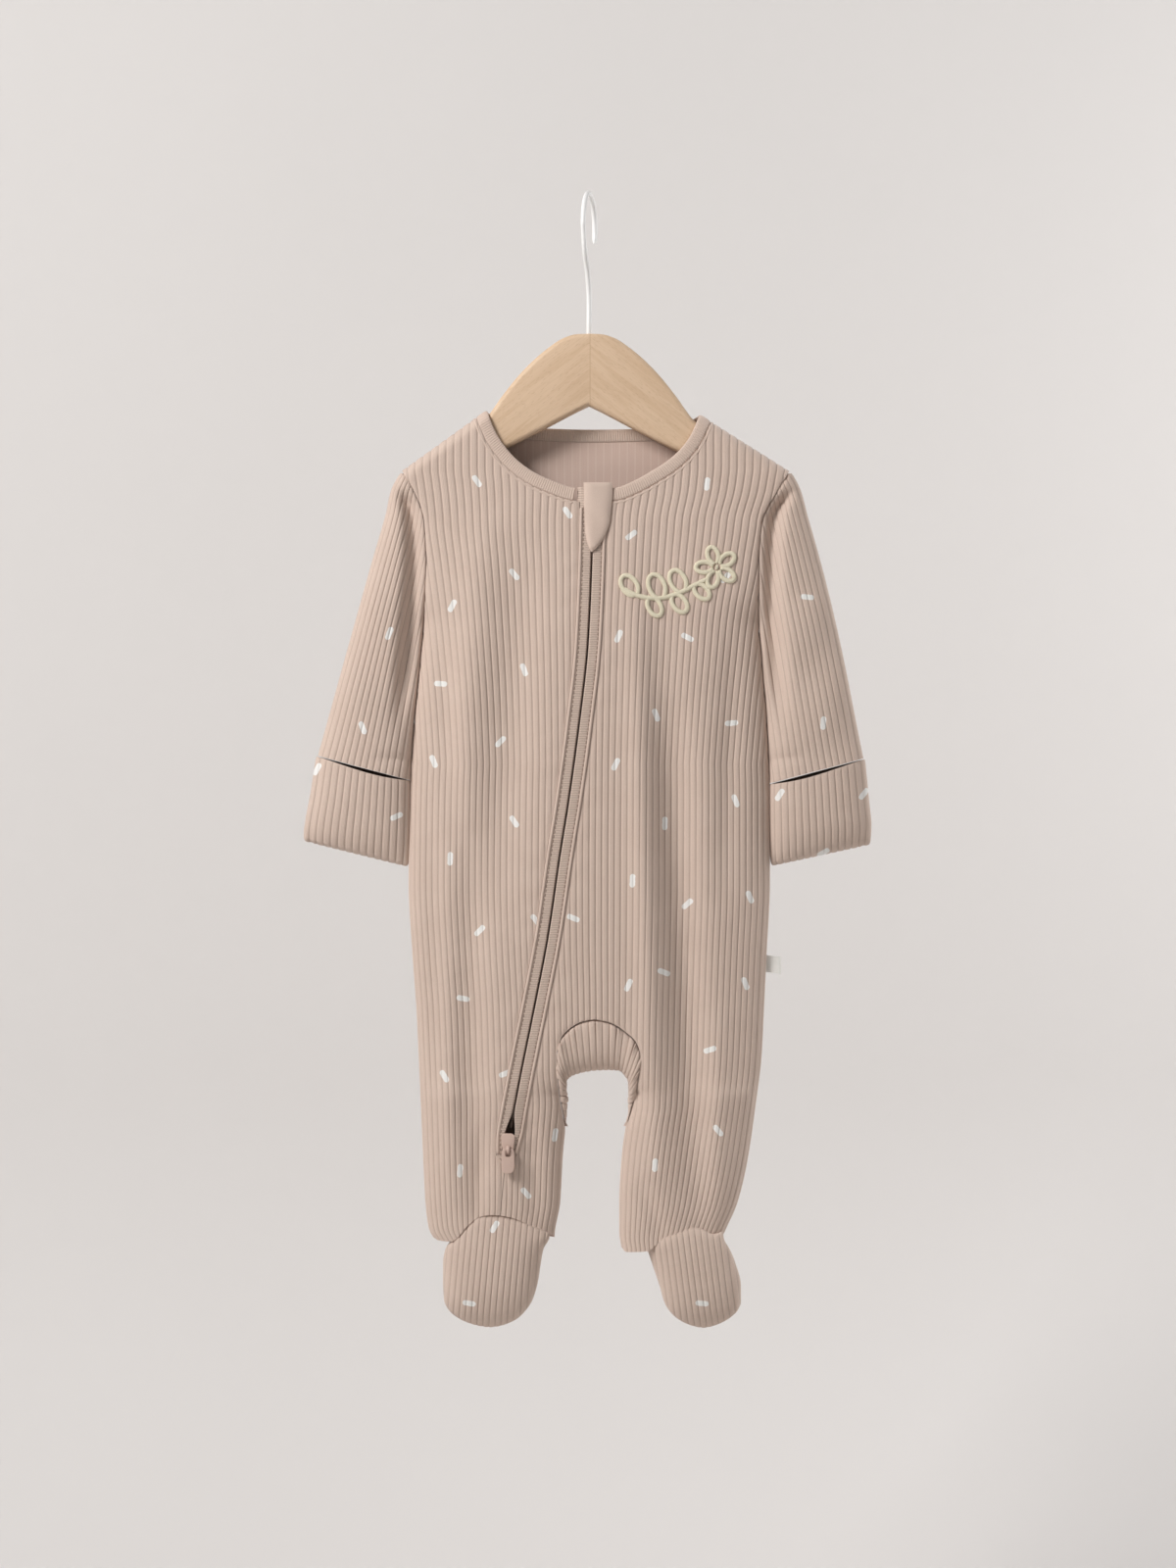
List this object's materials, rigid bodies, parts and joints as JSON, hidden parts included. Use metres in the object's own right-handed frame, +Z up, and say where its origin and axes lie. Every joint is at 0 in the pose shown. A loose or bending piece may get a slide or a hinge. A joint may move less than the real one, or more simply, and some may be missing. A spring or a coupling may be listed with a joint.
{
  "type": "footed baby sleepsuit on a wooden hanger",
  "caption": "Ribbed cotton footed baby sleepsuit with a slanting front zip, fold-over cuffs and a crotch gusset, hanging nearly flat on a small wooden hanger with a wire hook",
  "frame": {"origin": "the underside of the hook's crown, where a rail carries it", "axes": "+Z up along the garment, the front of the garment faces -Y, +X to the right of someone who looks at its front"},
  "size_m": [0.3286, 0.041, 0.6606],
  "materials": {
    "ribbed_cotton": "ribbed cotton jersey with a printed sprinkle",
    "plain_cotton": "fine rib and smooth cotton binding",
    "zip_tape": "woven tape",
    "zip_coil": "nylon coil",
    "zip_metal": "satin enamel",
    "label": "woven tape, bare",
    "beech": "sanded beech, unvarnished",
    "white_wire": "white coated steel wire"
  },
  "bodies": {
    "garment": {"front_left": "ribbed_cotton", "front_right": "ribbed_cotton", "back": "ribbed_cotton", "crotch_gusset": "ribbed_cotton", "sleeve_left": "ribbed_cotton", "sleeve_right": "ribbed_cotton", "cuff_left": "ribbed_cotton", "cuff_right": "ribbed_cotton", "foot_top_left": "ribbed_cotton", "foot_top_right": "ribbed_cotton", "foot_sole_left": "ribbed_cotton", "foot_sole_right": "ribbed_cotton", "neck_binding": "plain_cotton", "zip_guard": "plain_cotton", "zip_tape_left": "zip_tape", "zip_tape_right": "zip_tape", "zip_coil": "zip_coil", "zip_slider": "zip_metal", "side_label": "label", "hanger_wood": "beech", "hanger_hook": "white_wire"},
    "pull": {"zip_pull": "zip_metal"}
  },
  "joints": [
    {"name": "pull_tab_hinge", "type": "hinge", "parent": "garment", "child": "pull", "pos_m": [-0.0469, -0.01774, -0.5534], "axis": [-1, 0, 0], "range_deg": [0, 170]}
  ]
}
